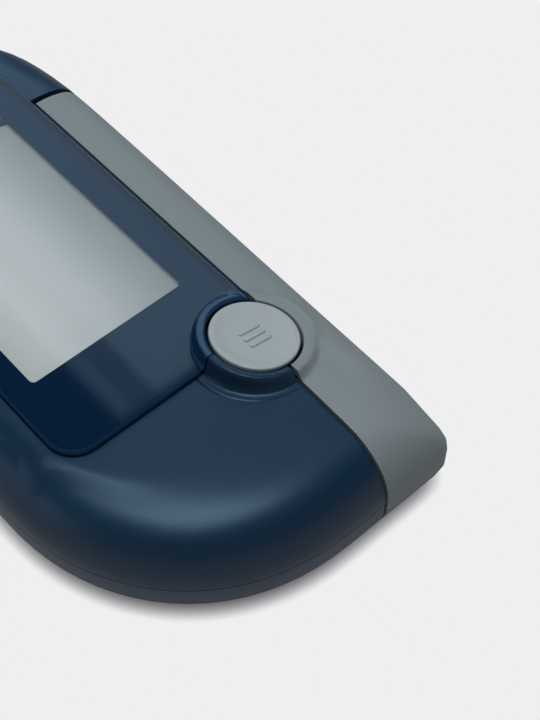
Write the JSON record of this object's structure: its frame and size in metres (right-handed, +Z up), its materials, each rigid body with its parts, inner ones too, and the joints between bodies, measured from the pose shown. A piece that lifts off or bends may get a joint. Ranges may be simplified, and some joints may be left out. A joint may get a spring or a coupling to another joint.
{
  "type": "blood glucose meter",
  "caption": "Handheld blood glucose meter with a round sloping key in a raised collar, a large display lens, a side grip strip, a test strip port and a rear cell door.",
  "frame": {"origin": "on the table, under the middle of the meter's box", "axes": "+X across the meter towards the grip strip, +Y up the meter towards the strip port, +Z up out of the display"},
  "size_m": [0.048, 0.104, 0.0191],
  "materials": {
    "shell_plastic": "navy ABS, fine spark texture",
    "grip_plastic": "grey, smooth matte",
    "lens_plastic": "clear acrylic, printed navy behind, polished",
    "key_plastic": "pale grey, satin",
    "panel_glass": "grey-green liquid crystal glass",
    "white_plastic": "natural white, moulded",
    "black_plastic": "black moulded",
    "board_laminate": "green solder mask",
    "gold_plate": "gold flash",
    "cell_jacket": "grey satin jacket",
    "nickel_steel": "bright nickel plate",
    "screw_steel": "zinc plated"
  },
  "bodies": {
    "housing": {"front_shell": "shell_plastic", "rear_shell": "shell_plastic", "grip_strip": "grip_plastic", "display_lens": "lens_plastic", "lcd_panel": "panel_glass", "lcd_frame": "white_plastic", "lcd_connector": "black_plastic", "circuit_board": "board_laminate", "controller_chip": "black_plastic", "buzzer": "black_plastic", "key_switch": "black_plastic", "set_switch": "black_plastic", "port_guide": "white_plastic", "strip_connector": "black_plastic", "strip_contacts": "gold_plate", "cell_1": "cell_jacket", "cell_2": "cell_jacket", "cell_spring_1": "nickel_steel", "cell_spring_2": "nickel_steel", "cell_link_plate": "nickel_steel", "cell_positive_plate": "nickel_steel", "cell_negative_plate": "nickel_steel", "housing_screw_1": "screw_steel", "housing_screw_2": "screw_steel", "housing_screw_3": "screw_steel", "housing_screw_4": "screw_steel"},
    "main_key": {"main_key": "key_plastic", "key_switch_plunger": "key_plastic"},
    "set_key": {"set_key": "key_plastic", "set_switch_plunger": "key_plastic"},
    "cell_door": {"cell_door": "shell_plastic"}
  },
  "joints": [
    {"name": "main_key_press", "type": "slide", "parent": "housing", "child": "main_key", "axis": [-0.2045, 0, -0.9789], "range_m": [0, 0.0005], "stiffness_N_per_m": 2000, "springref_m": -0.0002},
    {"name": "set_key_press", "type": "slide", "parent": "housing", "child": "set_key", "axis": [0, 0, 1], "range_m": [0, 0.0005], "stiffness_N_per_m": 2000, "springref_m": -0.0002},
    {"name": "cell_door_hinge", "type": "hinge", "parent": "housing", "child": "cell_door", "pos_m": [0, 0.0232, 0.0002], "axis": [1, 0, 0], "range_deg": [0, 40]}
  ]
}
